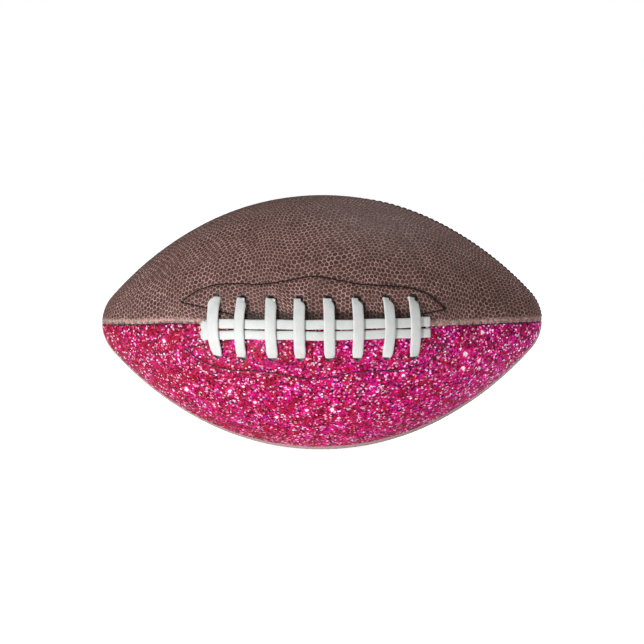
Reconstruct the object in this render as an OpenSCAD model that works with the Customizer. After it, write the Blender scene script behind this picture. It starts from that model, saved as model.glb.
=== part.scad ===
// American football in a junior size: four sewn panels with backing, a laced front
// opening, a bladder and an inflation valve. The long axis lies along X, the lacing
// faces -Y and +Z is up. The origin is the middle of the ball.

/* [Ball] */
// Length from nose to nose
ball_length = 235.2; // [232.2:0.5:238.2]
// Diameter at the middle
ball_diameter = 136; // [132:1:138]
// Radius of the long arc over the belly
belly_arc_r = 138.1; // [135.1:1:142.1]
// Radius of each rounded nose
nose_r = 22.72; // [20.72:0.5:24.72]

/* [Shell] */
// Thickness of the outer panels
panel_t = 1.8; // [1.4:0.1:2.2]
// Thickness of the foam and canvas backing behind each panel
lining_t = 2.5; // [1.5:0.1:2.6]
// Thickness of the bladder's wall
bladder_t = 1; // [0.6:0.1:1.5]
// Width of the turned-in edge that a seam is sewn through
seam_allowance = 4.2; // [3:0.1:4.4]
// Depth of the groove along every seam
groove_depth = 0.7; // [0.4:0.1:1]
// Width of the groove along every seam
groove_w = 0.9; // [0.6:0.1:1.4]
// Thickness of the sewing thread that lies in the groove
seam_thread_w = 0.5; // [0.3:0.1:0.5]

/* [Lacing] */
// Number of laces that cross the opening
cross_count = 8; // [6:2:8]
// Distance between neighbouring cross laces along the ball
cross_pitch = 15; // [13:0.5:15]
// Width of the lace where it crosses the opening
cross_lace_w = 6; // [5:0.1:6.4]
// Width of the lace that runs along the opening
long_lace_w = 5.1; // [4.4:0.1:5.2]
// Thickness of the lace
lace_t = 1.3; // [1:0.1:1.4]
// Distance from the seam to the middle of each lace hole, over the surface
hole_offset = 15.6; // [14.8:0.1:16]
// Radius of each lace hole
hole_r = 2.2; // [2.1:0.1:2.4]
// Length of the long lace past the last cross lace
long_lace_tail = 8.7; // [6:0.1:8.7]
// Width of the slit between the two laced panels
slit_w = 0.6; // [0.4:0.1:0.8]

/* [Reinforcement] */
// Thickness of the facing sewn behind each side of the slit
facing_t = 1.2; // [0.8:0.1:1.2]
// Width of the sewing thread that holds the facing
facing_thread_w = 0.5; // [0.4:0.1:0.8]
// Distance from the sewing to the edge of the facing
facing_margin = 2.5; // [1.5:0.1:3]

/* [Valve] */
// Radius of the needle channel through the valve's plug
needle_r = 0.95; // [0.8:0.05:1]
// Outer radius of the valve's neck
valve_neck_r = 3.1; // [2.8:0.1:3.3]
// Radius of the flange that is bonded inside the bladder
valve_flange_r = 11; // [9:1:14]
// Radius of the patch behind the valve hole
valve_patch_r = 15; // [12:1:18]

/* [Hidden] */
$fn = 144;

// Quarters of the ball, by the seam that each one starts from when turned about X
BACK_LOWER = 0;
BACK_UPPER = 1;
FRONT_UPPER = 2;
FRONT_LOWER = 3;
// Rows of lace holes
UPPER = 1;
LOWER = -1;

// Profile: belly arc, flank arc and nose arc, each tangent to the next
ball_r = ball_diameter / 2;
belly_arc_angle = atan2(8, 15);
belly_c = [ball_r - belly_arc_r, 0];
belly_end = belly_c + belly_arc_r * [cos(belly_arc_angle), sin(belly_arc_angle)];
nose_c = [0, ball_length / 2 - nose_r];
nose_to_belly = belly_end - nose_c;
flank_dir = [cos(belly_arc_angle), sin(belly_arc_angle)];
flank_arc_r = (nose_to_belly * nose_to_belly - pow(nose_r, 2))
    / (2 * (nose_to_belly * flank_dir - nose_r));
flank_c = belly_end - flank_arc_r * flank_dir;
nose_angle = atan2(nose_c[1] - flank_c[1], nose_c[0] - flank_c[0]);
// Angle by which the flank arc reaches under its neighbours, and how far it lies inside them
arc_lap = 0.05;
arc_step = 0.002;

// Layers, as depths below the outer surface
facing_depth = panel_t + facing_t;
lining_depth = panel_t + lining_t;
inner_pass_depth = facing_depth + 0.1;
tongue_depth = lining_depth + 0.15;
tongue_t = 0.6;
tongue_half_w = 20;
flange_depth = panel_t * 0.45 + seam_allowance;
bladder_depth = max(tongue_depth + tongue_t, flange_depth) + 0.15;
flange_t = 1.6;
flange_root = panel_t * 0.45;

// Lacing
cross_step = cross_pitch / belly_arc_r * 180 / PI;
cross_last = (cross_count - 1) / 2;
long_half_angle = cross_last * cross_step + long_lace_tail / belly_arc_r * 180 / PI;
fold_angle = 4;
fold_r = 7;
opening_half = belly_arc_r * sin(long_half_angle) + 4;
lace_gap = 0.05;
strap_lift = lace_t + 0.3;
strap_drop = strap_lift - lace_gap + pow(hole_offset, 2) / (2 * ball_r);
strap_r = (pow(hole_offset, 2) + pow(strap_drop, 2)) / (2 * strap_drop);
strap_half = hole_offset + 0.9;
peg_r = hole_r - 0.3;
inner_pass_t = lining_depth - inner_pass_depth;

// Outline of the facing's sewing on one side of the seam: distance along the ball from
// the middle, and width from the seam measured over the surface
FACING_OUTLINE = [[0, 27.2], [13, 25.2], [27, 22.9], [41, 22.9], [52, 21.6], [62, 17.5], [71, 10.6]];
facing_end = [50, 7.4];
outline_steps = 4;

// Valve, in the middle of the upper back panel
valve_turn = -45;
valve_top = ball_r - 0.5;
valve_plug_r = 2;
valve_plug_length = 8.6;
far = 2 * ball_length;
// Reach of the wedges that cut the profile's arcs to length
wedge_r = 17 * 97;

function ball_radius_at(x) =
    abs(x) < belly_end[1]
    ? belly_c[0] + sqrt(pow(belly_arc_r, 2) - x * x)
    : abs(x) < flank_c[1] + flank_arc_r * sin(nose_angle)
    ? flank_c[0] + sqrt(pow(flank_arc_r, 2) - pow(abs(x) - flank_c[1], 2))
    : sqrt(max(0, pow(nose_r, 2) - pow(abs(x) - nose_c[1], 2)));

// Height of the point that lies w from the seam, measured round the surface at x
function height_of(x, w) = ball_radius_at(x) * sin(w / ball_radius_at(x) * 180 / PI);

// Catmull-Rom curve through points, with n steps between each pair
function spline_point(a, b, c, d, t) =
    b + (c - a) * t / 2 + (2 * a - 5 * b + 4 * c - d) * t * t / 2
    + (3 * b - a - 3 * c + d) * t * t * t / 2;
function spline(points, n) =
    let (last = len(points) - 1)
    concat(
        [for (i = [0:last - 1], k = [0:n - 1])
            spline_point(
                i == 0 ? [-points[1][0], points[1][1]] : points[i - 1], points[i], points[i + 1],
                i == last - 1 ? 2 * points[last] - points[last - 1] : points[i + 2], k / n)],
        [points[last]]
    );

// The sewing line seen along Y, from the left end near the laces round to the right end
half_outline = concat(spline(FACING_OUTLINE, outline_steps), [facing_end]);
mirrored_outline = [for (i = [len(half_outline) - 1:-1:1]) [-half_outline[i][0], half_outline[i][1]]];
sewing_line = [for (p = concat(mirrored_outline, half_outline)) [p[0], height_of(p[0], p[1])]];

function unit(v) = v / norm(v);
function left_of(v) = [-v[1], v[0]];
// Direction across a line at point i, halfway between the two stretches that meet there
function across(line, i) =
    let (before = unit(line[max(i, 1)] - line[max(i, 1) - 1]))
    let (after = unit(line[min(i + 1, len(line) - 1)] - line[min(i, len(line) - 2)]))
    unit(left_of(before + after)) / max(0.5, sqrt((1 + before * after) / 2));
function beside(line, distance) =
    [for (i = [0:len(line) - 1]) line[i] + distance * across(line, i)];
function reversed(line) = [for (i = [len(line) - 1:-1:0]) line[i]];

// Part of a ring about point c between two angles, which are under 90 degrees apart
module ring_sector(c, outer_r, inner_r, from, to) {
    intersection() {
        translate(c) difference() {
            circle(outer_r);
            circle(inner_r);
        }
        translate(c)
            polygon([[0, 0], wedge_r * [cos(from), sin(from)], wedge_r * [cos(to), sin(to)]]);
    }
}

// Half profile of a layer between two depths, with the ball's long axis along Y
module wall(depth, inner_depth) {
    ring_sector(belly_c, belly_arc_r - depth, belly_arc_r - inner_depth, -belly_arc_angle, belly_arc_angle);
    for (side = [0, 1]) {
        mirror([0, side]) {
            ring_sector(flank_c, flank_arc_r - arc_step - depth, flank_arc_r - arc_step - inner_depth,
                belly_arc_angle - arc_lap, nose_angle + arc_lap);
            ring_sector(nose_c, nose_r - depth, nose_r - inner_depth, nose_angle, 90);
        }
    }
}

// Turns a quarter that was drawn about Z so that it lies about X in its own place
module place(quarter) {
    rotate([0, 90, 0]) rotate([0, 0, 90 * quarter]) children();
}

module quarter_layer(quarter, depth, inner_depth) {
    place(quarter) rotate_extrude(angle = 90) wall(depth, inner_depth);
}

// Flat plate in the seam plane where a quarter starts, on both sides of that plane
module seam_plate(quarter, before, after) {
    place(quarter) translate([0, after, 0]) rotate([90, 0, 0]) linear_extrude(before + after) children();
}

// Moves to the surface at an angle along the belly and an offset from the seam, with -Y outwards
module on_belly(along, offset) {
    turn = offset / ball_radius_at(belly_arc_r * sin(along)) * 180 / PI;
    rotate([-turn, 0, 0]) translate([0, -belly_c[0], 0]) rotate([0, 0, along])
        translate([0, -belly_arc_r, 0]) children();
}

function cross_angle(i) = (i - cross_last) * cross_step;

module lace_hole(along, offset) {
    on_belly(along, offset) rotate([90, 0, 0]) cylinder(r = hole_r, h = 16, center = true);
}

module lace_holes(row) {
    for (i = [0:cross_count - 1]) {
        lace_hole(cross_angle(i), row * hole_offset);
    }
}

module slit() {
    translate([-opening_half, -ball_r - 5, -slit_w / 2]) cube([2 * opening_half, 20, slit_w]);
}

// Area of the facing on one side of the seam, seen along Y
module facing_area(row, margin) {
    edge = beside(sewing_line, margin);
    mirror([0, row == UPPER ? 0 : 1])
        polygon(concat([[-opening_half + 4, slit_w / 2]], edge, [[opening_half - 4, slit_w / 2]]));
}

module front_column() {
    rotate([90, 0, 0]) linear_extrude(2 * ball_r) children();
}

// Turned-in edges of one quarter, with the laced opening left out on the front seam
module turned_edges(quarter) {
    for (last = [0, 1]) {
        front = quarter + last == FRONT_LOWER;
        seam_plate(quarter + last, last * flange_t, (1 - last) * flange_t) difference() {
            wall(flange_root, flange_depth);
            if (front) {
                translate([0, -opening_half]) square([ball_r, 2 * opening_half]);
            }
        }
    }
}

module grooves(quarter) {
    for (last = [0, 1]) {
        seam_plate(quarter + last, groove_w / 2, groove_w / 2) wall(-1, groove_depth);
    }
}

module valve_hole(r) {
    rotate([valve_turn, 0, 0]) cylinder(r = r, h = far);
}

module panel(quarter) {
    difference() {
        union() {
            quarter_layer(quarter, 0, panel_t);
            turned_edges(quarter);
        }
        grooves(quarter);
        if (quarter == FRONT_UPPER || quarter == FRONT_LOWER) {
            slit();
            lace_holes(quarter == FRONT_UPPER ? UPPER : LOWER);
        }
        if (quarter == BACK_UPPER) {
            valve_hole(valve_neck_r + 0.1);
        }
    }
}

// Foam and canvas backing, clear of the turned edges, the facing and the valve
module lining(quarter) {
    clear = flange_t + 0.2;
    difference() {
        intersection() {
            quarter_layer(quarter, panel_t, lining_depth);
            place(quarter) translate([clear, clear, -ball_length / 2]) cube([ball_r, ball_r, ball_length]);
        }
        if (quarter == FRONT_UPPER || quarter == FRONT_LOWER) {
            front_column() facing_area(quarter == FRONT_UPPER ? UPPER : LOWER, facing_margin + 0.4);
            translate([-opening_half, -ball_r, -4]) cube([2 * opening_half, ball_r, 8]);
        }
        if (quarter == BACK_UPPER) {
            valve_hole(valve_neck_r + 0.3);
        }
    }
}

module facing(quarter, row) {
    difference() {
        intersection() {
            quarter_layer(quarter, panel_t, facing_depth);
            front_column() facing_area(row, facing_margin);
        }
        lace_holes(row);
    }
}

// Thread that lies on the panel along the sewing line
module facing_thread(quarter, row) {
    half = facing_thread_w / 2;
    intersection() {
        quarter_layer(quarter, -0.3, 0);
        front_column() mirror([0, row == UPPER ? 0 : 1])
            polygon(concat(beside(sewing_line, half), reversed(beside(sewing_line, -half))));
    }
}

// Thread in the bottom of a seam's groove, between two distances along the ball
module seam_thread(quarter, from, to) {
    seam_plate(quarter, seam_thread_w / 2, seam_thread_w / 2) intersection() {
        wall(groove_depth - 0.5, groove_depth);
        translate([4, from]) square([ball_r, to - from]);
    }
}

// Stretch of lace along the belly's arc between two angles, with its middle at height z
module lace_run(from, to, bottom, top, z, w) {
    translate([0, -belly_c[0], z - w / 2]) rotate([0, 0, from - 90]) rotate_extrude(angle = to - from)
        translate([belly_arc_r + bottom, 0]) square([top - bottom, w]);
}

// One strip, folded in half at the left end: a run on each side of the slit
module long_lace_solid() {
    edge = slit_w / 2 + long_lace_w;
    top = lace_gap + lace_t;
    difference() {
        lace_run(-long_half_angle - fold_angle, long_half_angle, lace_gap, top, 0, 2 * edge);
        lace_run(-long_half_angle, long_half_angle + 1, lace_gap - 1, top + 1, 0, slit_w);
        on_belly(-long_half_angle, 0) rotate([90, 0, 0]) linear_extrude(8, center = true) difference() {
            translate([-2 * fold_r, -2 * fold_r]) square([2 * fold_r, 4 * fold_r]);
            translate([4, 0]) circle(fold_r);
        }
    }
}

// Bowed lace across the opening, with its two ends standing in the holes
module cross_strap(i) {
    half_angle = asin(min(1, (strap_half + 1) / strap_r));
    on_belly(cross_angle(i), 0) intersection() {
        rotate([90, 0, 90]) linear_extrude(cross_lace_w, center = true)
            ring_sector([strap_r - strap_lift, 0], strap_r + lace_t, strap_r, 180 - half_angle, 180 + half_angle);
        rotate([90, 0, 0]) linear_extrude(ball_r, center = true) {
            square([cross_lace_w, 2 * (strap_half - cross_lace_w / 2)], center = true);
            for (row = [UPPER, LOWER]) {
                translate([0, row * (strap_half - cross_lace_w / 2)]) circle(cross_lace_w / 2);
            }
        }
    }
    for (row = [UPPER, LOWER]) {
        on_belly(cross_angle(i), row * hole_offset) rotate([-90, 0, 0]) translate([0, 0, -0.6])
            cylinder(r = peg_r, h = 0.6 + lining_depth);
    }
}

// Stretch of lace behind the panels from one station to another along a row of holes
module inner_pass(from, to, row) {
    middle = ball_radius_at(belly_arc_r * sin((from + to) / 2));
    rotate([-row * hole_offset / middle * 180 / PI, 0, 0])
        lace_run(from, to, -lining_depth, -inner_pass_depth, 0, 2 * peg_r);
}

// One strip wound through all the holes, with its two ends tucked behind the upper row
module cross_lace_solid() {
    tuck = 3.5;
    for (i = [0:cross_count - 1]) {
        cross_strap(i);
    }
    for (i = [0:cross_count - 2]) {
        inner_pass(cross_angle(i), cross_angle(i + 1), i % 2 == 0 ? LOWER : UPPER);
    }
    inner_pass(cross_angle(0) - tuck, cross_angle(0), UPPER);
    inner_pass(cross_angle(cross_count - 1), cross_angle(cross_count - 1) + tuck, UPPER);
}

module panel_front_upper() {
    color("#5b3f3a") panel(FRONT_UPPER);
}

module panel_front_lower() {
    color("#c8145f") panel(FRONT_LOWER);
}

module panel_back_upper() {
    color("#5b3f3a") panel(BACK_UPPER);
}

module panel_back_lower() {
    color("#543a36") panel(BACK_LOWER);
}

module lining_front_upper() {
    color("#d9cfb8") lining(FRONT_UPPER);
}

module lining_front_lower() {
    color("#d9cfb8") lining(FRONT_LOWER);
}

module lining_back_upper() {
    color("#d9cfb8") lining(BACK_UPPER);
}

module lining_back_lower() {
    color("#d9cfb8") lining(BACK_LOWER);
}

module facing_upper() {
    color("#3a2b28") facing(FRONT_UPPER, UPPER);
}

module facing_lower() {
    color("#3a2b28") facing(FRONT_LOWER, LOWER);
}

module facing_thread_upper() {
    color("#191516") facing_thread(FRONT_UPPER, UPPER);
}

module facing_thread_lower() {
    color("#191516") facing_thread(FRONT_LOWER, LOWER);
}

module long_lace() {
    color("#eceeec") long_lace_solid();
}

module cross_lace() {
    color("#f4f5f3") cross_lace_solid();
}

// Pad between the lacing and the bladder
module lace_tongue() {
    color("#4a4038") intersection() {
        union() {
            quarter_layer(FRONT_UPPER, tongue_depth, tongue_depth + tongue_t);
            quarter_layer(FRONT_LOWER, tongue_depth, tongue_depth + tongue_t);
        }
        front_column() {
            square([2 * (opening_half - tongue_half_w), 2 * tongue_half_w], center = true);
            for (side = [-1, 1]) {
                translate([side * (opening_half - tongue_half_w), 0]) circle(tongue_half_w);
            }
        }
    }
}

module seam_thread_top() {
    color("#2b2021") seam_thread(FRONT_UPPER, -far, far);
}

module seam_thread_bottom() {
    color("#2b2021") seam_thread(BACK_LOWER, -far, far);
}

module seam_thread_back() {
    color("#2b2021") seam_thread(BACK_UPPER, -far, far);
}

module seam_thread_front_left() {
    color("#2b2021") seam_thread(FRONT_LOWER, -far, -opening_half - 1);
}

module seam_thread_front_right() {
    color("#2b2021") seam_thread(FRONT_LOWER, opening_half + 1, far);
}

module bladder() {
    color("#202022") difference() {
        rotate([0, 90, 0]) rotate_extrude() wall(bladder_depth, bladder_depth + bladder_t);
        valve_hole(valve_neck_r + 0.05);
    }
}

// Rubber moulding with a flange inside the bladder and a neck out to the panel's surface
module valve_body() {
    flange_depth_in = bladder_depth + bladder_t + 0.05;
    color("#2c2c2f") rotate([valve_turn, 0, 0]) difference() {
        union() {
            intersection() {
                cylinder(r = valve_flange_r, h = far);
                rotate([-valve_turn, 0, 0])
                    quarter_layer(BACK_UPPER, flange_depth_in, flange_depth_in + 1.3);
            }
            translate([0, 0, ball_r - flange_depth_in - 1]) cylinder(
                r = valve_neck_r, h = valve_top - ball_r + flange_depth_in + 1);
        }
        cylinder(r = valve_plug_r + 0.05, h = far);
    }
}

// Self-sealing plug that the inflating needle passes through
module valve_plug() {
    color("#3c3c40") rotate([valve_turn, 0, 0]) translate([0, 0, valve_top - 0.2 - valve_plug_length])
        difference() {
            cylinder(r = valve_plug_r, h = valve_plug_length);
            translate([0, 0, -1]) cylinder(r = needle_r, h = valve_plug_length + 2);
        }
}

// Canvas disc that keeps the valve hole from tearing
module valve_patch() {
    color("#b9ab8c") difference() {
        intersection() {
            quarter_layer(BACK_UPPER, lining_depth + 0.1, lining_depth + 0.7);
            valve_hole(valve_patch_r);
        }
        valve_hole(valve_neck_r + 0.3);
    }
}

panel_front_upper();
panel_front_lower();
panel_back_upper();
panel_back_lower();
lining_front_upper();
lining_front_lower();
lining_back_upper();
lining_back_lower();
facing_upper();
facing_lower();
facing_thread_upper();
facing_thread_lower();
long_lace();
cross_lace();
lace_tongue();
seam_thread_top();
seam_thread_bottom();
seam_thread_back();
seam_thread_front_left();
seam_thread_front_right();
bladder();
valve_body();
valve_plug();
valve_patch();
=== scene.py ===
import math
import bpy
import numpy as np
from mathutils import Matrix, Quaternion, Vector


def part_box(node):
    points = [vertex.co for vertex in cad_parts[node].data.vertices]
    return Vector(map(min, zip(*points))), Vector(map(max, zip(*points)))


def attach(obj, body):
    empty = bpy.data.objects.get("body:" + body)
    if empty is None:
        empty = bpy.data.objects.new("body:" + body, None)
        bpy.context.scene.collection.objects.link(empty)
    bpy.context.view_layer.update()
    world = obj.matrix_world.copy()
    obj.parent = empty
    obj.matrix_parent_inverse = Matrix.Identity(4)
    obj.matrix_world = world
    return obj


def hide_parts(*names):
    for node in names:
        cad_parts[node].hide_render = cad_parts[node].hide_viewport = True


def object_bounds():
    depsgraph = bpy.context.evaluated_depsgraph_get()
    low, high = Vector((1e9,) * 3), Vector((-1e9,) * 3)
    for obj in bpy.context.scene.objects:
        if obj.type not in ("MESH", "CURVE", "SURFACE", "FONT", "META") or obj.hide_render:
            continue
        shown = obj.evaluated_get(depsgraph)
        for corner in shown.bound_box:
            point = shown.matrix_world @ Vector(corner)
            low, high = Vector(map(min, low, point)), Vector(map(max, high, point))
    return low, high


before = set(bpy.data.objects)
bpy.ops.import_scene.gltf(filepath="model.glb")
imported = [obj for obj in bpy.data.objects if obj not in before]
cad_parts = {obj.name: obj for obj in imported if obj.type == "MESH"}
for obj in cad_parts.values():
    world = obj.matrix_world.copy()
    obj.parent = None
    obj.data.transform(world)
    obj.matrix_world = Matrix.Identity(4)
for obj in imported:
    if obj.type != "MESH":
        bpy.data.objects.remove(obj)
cad_low, cad_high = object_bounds()

# Looks for a laced American football. Everything is in metres in the CAD frame: the long axis
# lies along X, the lacing faces -Y and +Z is up. A point of the ball's surface is given by u,
# its distance along the outline from the middle, and by turn, its angle round the long axis
# from the lacing towards +Z. On a panel, w is the distance from the panel's middle line,
# measured round the ball.
MM = 0.001

# ---------------------------------------------------------------------- sizes
BALL_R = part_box("panel_front_upper")[1].z
HALF_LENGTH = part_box("panel_front_upper")[1].x
BELLY_ARC_R = 138.1 * MM
BELLY_ANGLE = math.atan2(8, 15)
NOSE_R = 22.72 * MM
PANEL_T = 1.8 * MM

PEBBLE = 2.32 * MM
PEBBLE_JITTER = 0.31
RELIEF = 0.20 * MM

EDGE_ROLL = 1.1 * MM
EDGE_DROP = 0.65 * MM
EDGE_STEPS = 6
SEAM_SOFT = 8 * MM
SEAM_DIP = 0.45 * MM
SEAM_PITCH = 4.6 * MM
SEAM_PUCKER = 0.10 * MM
TOP_THREAD_RISE = 0.75 * MM
TURNED_DEPTH = 4.2 * MM
TURNED_WIDTH = 1.6 * MM
SEAM_GAP = 0.02 * MM
INNER_LEVEL = -PANEL_T + 0.01 * MM
RIM_BASE = 5.2 * MM
RIM_SHARE = 0.22
# Painted shade beside the seams: how far it reaches, and the share of the radius it adds on the bare rim
SEAM_SHADE_REACH = 2.2 * MM
SEAM_SHADE_SHARE = 0.15

CROSS_COUNT = 8
CROSS_STEP = 15 * MM
HOLE_OFFSET = 15.3 * MM
HOLE_R = 2.0 * MM
HOLE_DIP = 0.45 * MM
STRAP_END = 14.8 * MM
LACE_T = 1.45 * MM
LONG_W = 4.85 * MM
LONG_LIFT = 0.1 * MM
OPENING_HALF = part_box("long_lace")[1].x
VALVE_R = 3.25 * MM

# Sewing of the facing on the left and the right half: distance along the ball from the middle, and from
# the front seam. Its left tip differs above and below the seam, and on the right it runs SEWING_SAG lower.
SEWING_LEFT = [(13, 25.2), (27, 22.9), (41, 22.9), (52, 21.6), (62, 17.5)]
SEWING_RIGHT = [(0, 27.2), (12, 25.1), (25, 22.8), (38, 22.3), (50, 20.8), (59, 17), (67.5, 9.4)]
UPPER_LEFT_TIP = (70.3, 11.3)
LOWER_LEFT_TIP = (68.4, 13.0)
SEWING_LEFT_END = (-41, 6.2)
SEWING_RIGHT_END = (48, 5.8)
SEWING_SAG = 0.7
SEWN_DIP = 0.34 * MM
FACING_RISE = 0.22 * MM
STITCH = 3.0 * MM
THREAD_R = 0.28 * MM

# Big sparkles of the print, as X and Z on the ball and size, in millimetres
GLINTS = [(77, -15, 1.7), (84, -19, 1.2), (76, -23, 1.3), (45, -25, 1.1), (8, -43, 1.2), (-5, -43, 1.0),
          (-45, -33, 1.2), (-69, -33, 1.3), (86, -4, 1.3), (-80, -7, 1.2), (-32, -39, 1.0), (-21, -47, 1.0)]

QUARTER = math.pi / 2
FRONT_UPPER = QUARTER / 2
FRONT_LOWER = -QUARTER / 2
BACK_UPPER = 3 * QUARTER / 2
BACK_LOWER = -3 * QUARTER / 2


# ---------------------------------------------------------------------- the ball's outline
def outline_arcs():
    """Belly, flank and nose arcs: centre along X, centre from the axis, radius, end angle, end distance."""
    lean = np.array([math.sin(BELLY_ANGLE), math.cos(BELLY_ANGLE)])
    belly = np.array([0, BALL_R - BELLY_ARC_R])
    nose = np.array([HALF_LENGTH - NOSE_R, 0])
    gap = belly + BELLY_ARC_R * lean - nose
    flank_r = (gap @ gap - NOSE_R**2) / (2 * (gap @ lean - NOSE_R))
    flank = belly + (BELLY_ARC_R - flank_r) * lean
    nose_angle = math.atan2(nose[0] - flank[0], nose[1] - flank[1])
    belly_end = BELLY_ARC_R * BELLY_ANGLE
    flank_end = belly_end + flank_r * (nose_angle - BELLY_ANGLE)
    nose_end = flank_end + NOSE_R * (QUARTER - nose_angle)
    return [
        (*belly, BELLY_ARC_R, BELLY_ANGLE, belly_end),
        (*flank, flank_r, nose_angle, flank_end),
        (*nose, NOSE_R, QUARTER, nose_end),
    ]


ARCS = outline_arcs()
HALF_OUTLINE = ARCS[2][4]


def on_outline(u):
    """(x, distance from the axis, lean of the outward normal along X) at distance u from the middle."""
    u = np.asarray(u, float)
    far = np.minimum(np.abs(u), HALF_OUTLINE)
    side = np.where(u < 0, -1.0, 1.0)
    x, r, lean = np.zeros_like(far), np.zeros_like(far), np.zeros_like(far)
    start, start_angle = 0.0, 0.0
    for cx, cr, radius, end_angle, end in ARCS:
        here = far >= start - 1e-12
        angle = start_angle + (far - start) / radius
        x = np.where(here, cx + radius * np.sin(angle), x)
        r = np.where(here, cr + radius * np.cos(angle), r)
        lean = np.where(here, angle, lean)
        start, start_angle = end, end_angle
    return side * x, np.maximum(r, 0), side * lean


def wander(u, turn):
    """Turn by which the front seam, and all that is sewn beside it, strays from a straight line."""
    x, r, _ = on_outline(u)
    stray = 2.0 * MM * np.exp(-(((x + 70 * MM) / (27 * MM)) ** 2))
    stray = stray * smooth(r, 2 * MM, 22 * MM)
    return stray / np.maximum(r, MM) * np.maximum(np.cos(turn), 0) ** 2


def surface(u, turn, height=0.0):
    """Points of the ball at (u, turn), raised by height along the outward normal."""
    x, r, lean = on_outline(u)
    turn = turn + wander(u, turn)
    out = r + height * np.cos(lean)
    x = x + height * np.sin(lean)
    return np.stack(np.broadcast_arrays(x, -out * np.cos(turn), out * np.sin(turn)), axis=-1)


def half_width(u):
    """Half of a panel's width, measured round the ball."""
    return on_outline(u)[1] * QUARTER / 2


def smooth(x, low, high):
    t = np.clip((x - low) / (high - low), 0, 1)
    return t * t * (3 - 2 * t)


def curve_through(points, steps):
    """Catmull-Rom curve through points, with a number of steps between each pair."""
    points = np.asarray(points, float)
    ends = np.vstack([2 * points[0] - points[1], points, 2 * points[-1] - points[-2]])
    t = np.arange(steps)[:, None] / steps
    parts = []
    for a, b, c, d in zip(ends[:-3], ends[1:-2], ends[2:-1], ends[3:]):
        parts.append(b + (c - a) * t / 2 + (2 * a - 5 * b + 4 * c - d) * t**2 / 2
                     + (3 * b - a - 3 * c + d) * t**3 / 2)
    return np.vstack([*parts, points[-1:]])


def evenly(line, step):
    """The same line with points at even steps of about that length."""
    line = np.asarray(line, float)
    along = np.concatenate([[0], np.cumsum(np.linalg.norm(np.diff(line, axis=0), axis=1))])
    count = max(2, round(along[-1] / step) + 1)
    at = np.linspace(0, along[-1], count)
    return np.stack([np.interp(at, along, line[:, k]) for k in range(line.shape[1])], axis=1)


def sewing_line(row):
    """The facing's sewing as (x, distance from the front seam), from the left end to the right end.
    row is 1 above the seam and -1 below it."""
    tip = UPPER_LEFT_TIP if row > 0 else LOWER_LEFT_TIP
    left = [(-x, v) for x, v in (tip, *SEWING_LEFT[::-1])]
    leaf = curve_through(left + SEWING_RIGHT, 6)
    line = np.vstack([SEWING_LEFT_END, leaf, SEWING_RIGHT_END])
    line[:, 1] -= row * SEWING_SAG * smooth(line[:, 0], 10, 45)
    return line * MM


def distance_to_line(x, v, line):
    """Distance of each point (x, v) from a line of straight stretches."""
    best = np.full(x.shape, 1.0)
    for a, b in zip(line[:-1], line[1:]):
        d = b - a
        t = np.clip(((x - a[0]) * d[0] + (v - a[1]) * d[1]) / (d @ d), 0, 1)
        best = np.minimum(best, np.hypot(x - a[0] - t * d[0], v - a[1] - t * d[1]))
    return best


def u_at_x(x):
    """Distance along the outline at a position along X."""
    u = np.linspace(-HALF_OUTLINE, HALF_OUTLINE, 2001)
    return np.interp(x, on_outline(u)[0], u)


# ---------------------------------------------------------------------- meshes
def make_mesh(name, points, triangles, values=None, material=None):
    """Smooth object made of triangles, with values kept as point attributes that the materials read."""
    mesh = bpy.data.meshes.new(name)
    mesh.vertices.add(len(points))
    mesh.vertices.foreach_set("co", np.asarray(points, np.float32).ravel())
    mesh.loops.add(3 * len(triangles))
    mesh.loops.foreach_set("vertex_index", np.asarray(triangles, np.int32).ravel())
    mesh.polygons.add(len(triangles))
    mesh.polygons.foreach_set("loop_start", np.arange(0, 3 * len(triangles), 3, dtype=np.int32))
    mesh.polygons.foreach_set("use_smooth", np.ones(len(triangles), bool))
    for key, value in (values or {}).items():
        layer = mesh.attributes.new(key, "FLOAT", "POINT")
        layer.data.foreach_set("value", np.asarray(value, np.float32))
    mesh.update(calc_edges=True)
    mesh.validate()
    piece = bpy.data.objects.new(name, mesh)
    bpy.context.collection.objects.link(piece)
    if material:
        mesh.materials.append(material)
    return piece


def quads(a, b, c, d):
    """Two triangles for each quad of four index arrays."""
    a, b, c, d = (np.asarray(k).ravel() for k in (a, b, c, d))
    return np.concatenate([np.stack([a, b, c], 1), np.stack([a, c, d], 1)])


def renumbered(faces):
    """The points that some faces or edges use, and the same faces with those points numbered from 0."""
    used, numbers = np.unique(faces, return_inverse=True)
    return used, numbers.reshape(faces.shape)


def wall(edges, points, rows):
    """Triangles between rows of points: each row is joined to the next one along the same edges."""
    a, b = edges[:, 0], edges[:, 1]
    levels = range(0, (rows - 1) * points, points)
    return np.vstack([quads(b + k, a + k, a + k + points, b + k + points) for k in levels])


def install(piece, slot, *nodes):
    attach(piece, "root")
    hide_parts(*nodes)
    return piece


class Build:
    """Collects points, their values and triangles of one mesh."""

    def __init__(self, *value_names):
        self.names = value_names
        self.points, self.values, self.triangles, self.count = [], [], [], 0

    def add(self, points, triangles, **values):
        points = np.asarray(points, float).reshape(-1, 3)
        self.points.append(points)
        self.values.append(np.stack([np.broadcast_to(values[n], len(points)) for n in self.names], 1))
        self.triangles.append(np.asarray(triangles) + self.count)
        self.count += len(points)

    def finish(self, name, material):
        values = np.vstack(self.values)
        named = {n: values[:, k] for k, n in enumerate(self.names)}
        return make_mesh(name, np.vstack(self.points), np.vstack(self.triangles), named, material)


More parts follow.
